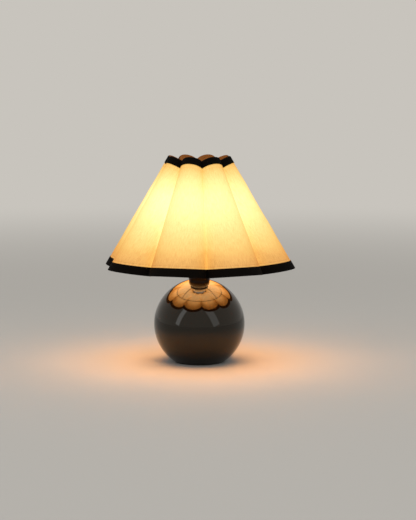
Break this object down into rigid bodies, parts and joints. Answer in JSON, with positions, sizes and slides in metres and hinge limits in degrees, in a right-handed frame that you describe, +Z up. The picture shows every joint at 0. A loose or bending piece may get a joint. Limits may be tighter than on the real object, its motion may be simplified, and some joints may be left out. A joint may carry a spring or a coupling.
{
  "type": "table lamp",
  "caption": "Table lamp with a glossy ball base, a screw lampholder with its bulb, and a conical fabric shade of rounded petals bound in dark tape.",
  "frame": {"origin": "middle of the foot, on the surface that the lamp stands on", "axes": "+Z up along the lamp's axis; the pictured front faces -Y and the cable inlet is at the back, towards +Y"},
  "size_m": [0.264, 0.264, 0.2875],
  "materials": {
    "felt": "pressed wool felt",
    "steel_plate": "zinc plated sheet",
    "cast_iron": "as cast",
    "black_glaze": "high gloss glaze",
    "black_plastic": "moulded, semi-gloss",
    "zinc_steel": "zinc plated",
    "brass": "bright sheet",
    "block_plastic": "moulded polyamide",
    "blue_insulation": "extruded",
    "brown_insulation": "extruded",
    "porcelain": "unglazed",
    "opal_glass": "opal, lit",
    "cap_metal": "rolled sheet",
    "solder": "solder",
    "black_glass": "fused insulator",
    "white_wire": "epoxy coated",
    "shade_fabric": "linen weave on a laminated backing",
    "black_tape": "woven binding tape"
  },
  "bodies": {
    "base": {"felt_pad": "felt", "base_plate": "steel_plate", "ballast": "cast_iron", "ball_shell": "black_glaze", "cable_bush": "black_plastic", "threaded_tube": "zinc_steel", "tube_nuts": "zinc_steel", "tube_washers": "zinc_steel", "terminal_block": "block_plastic", "block_screws": "brass", "lead_left": "blue_insulation", "lead_right": "brown_insulation", "holder_dome": "black_plastic", "grub_screw": "zinc_steel", "holder_skirt": "black_plastic", "holder_insert": "porcelain", "screw_shell": "brass", "centre_contact": "brass", "side_terminals": "brass", "terminal_screws": "zinc_steel"},
    "shade": {"shade_fitter": "white_wire", "lower_wire_ring": "white_wire", "upper_wire_ring": "white_wire", "petal_1": "shade_fabric", "petal_2": "shade_fabric", "petal_3": "shade_fabric", "petal_4": "shade_fabric", "petal_5": "shade_fabric", "petal_6": "shade_fabric", "petal_7": "shade_fabric", "petal_8": "shade_fabric", "lower_binding": "black_tape", "upper_binding": "black_tape"},
    "ring": {"retaining_ring": "black_plastic"},
    "bulb_seat": {"bulb_tip": "solder"},
    "bulb": {"bulb_insulator": "black_glass", "bulb_cap": "cap_metal", "bulb_globe": "opal_glass"}
  },
  "joints": [
    {"name": "shade_turn", "type": "hinge", "parent": "base", "child": "shade", "pos_m": [0, 0, 0.157], "axis": [0, 0, 1], "continuous": true},
    {"name": "ring_unscrew", "type": "slide", "parent": "base", "child": "ring", "axis": [0, 0, 1], "range_m": [0, 0.01]},
    {"name": "bulb_rise", "type": "slide", "parent": "base", "child": "bulb_seat", "axis": [0, 0, 1], "range_m": [0, 0.01815]},
    {"name": "bulb_turn", "type": "hinge", "parent": "bulb_seat", "child": "bulb", "pos_m": [0, 0, 0.16], "axis": [0, 0, 1], "range_deg": [0, 1800]}
  ],
  "couplings": [
    {"joint": "bulb_rise", "follows": "bulb_turn", "m_per_rad": 0.0005776}
  ]
}
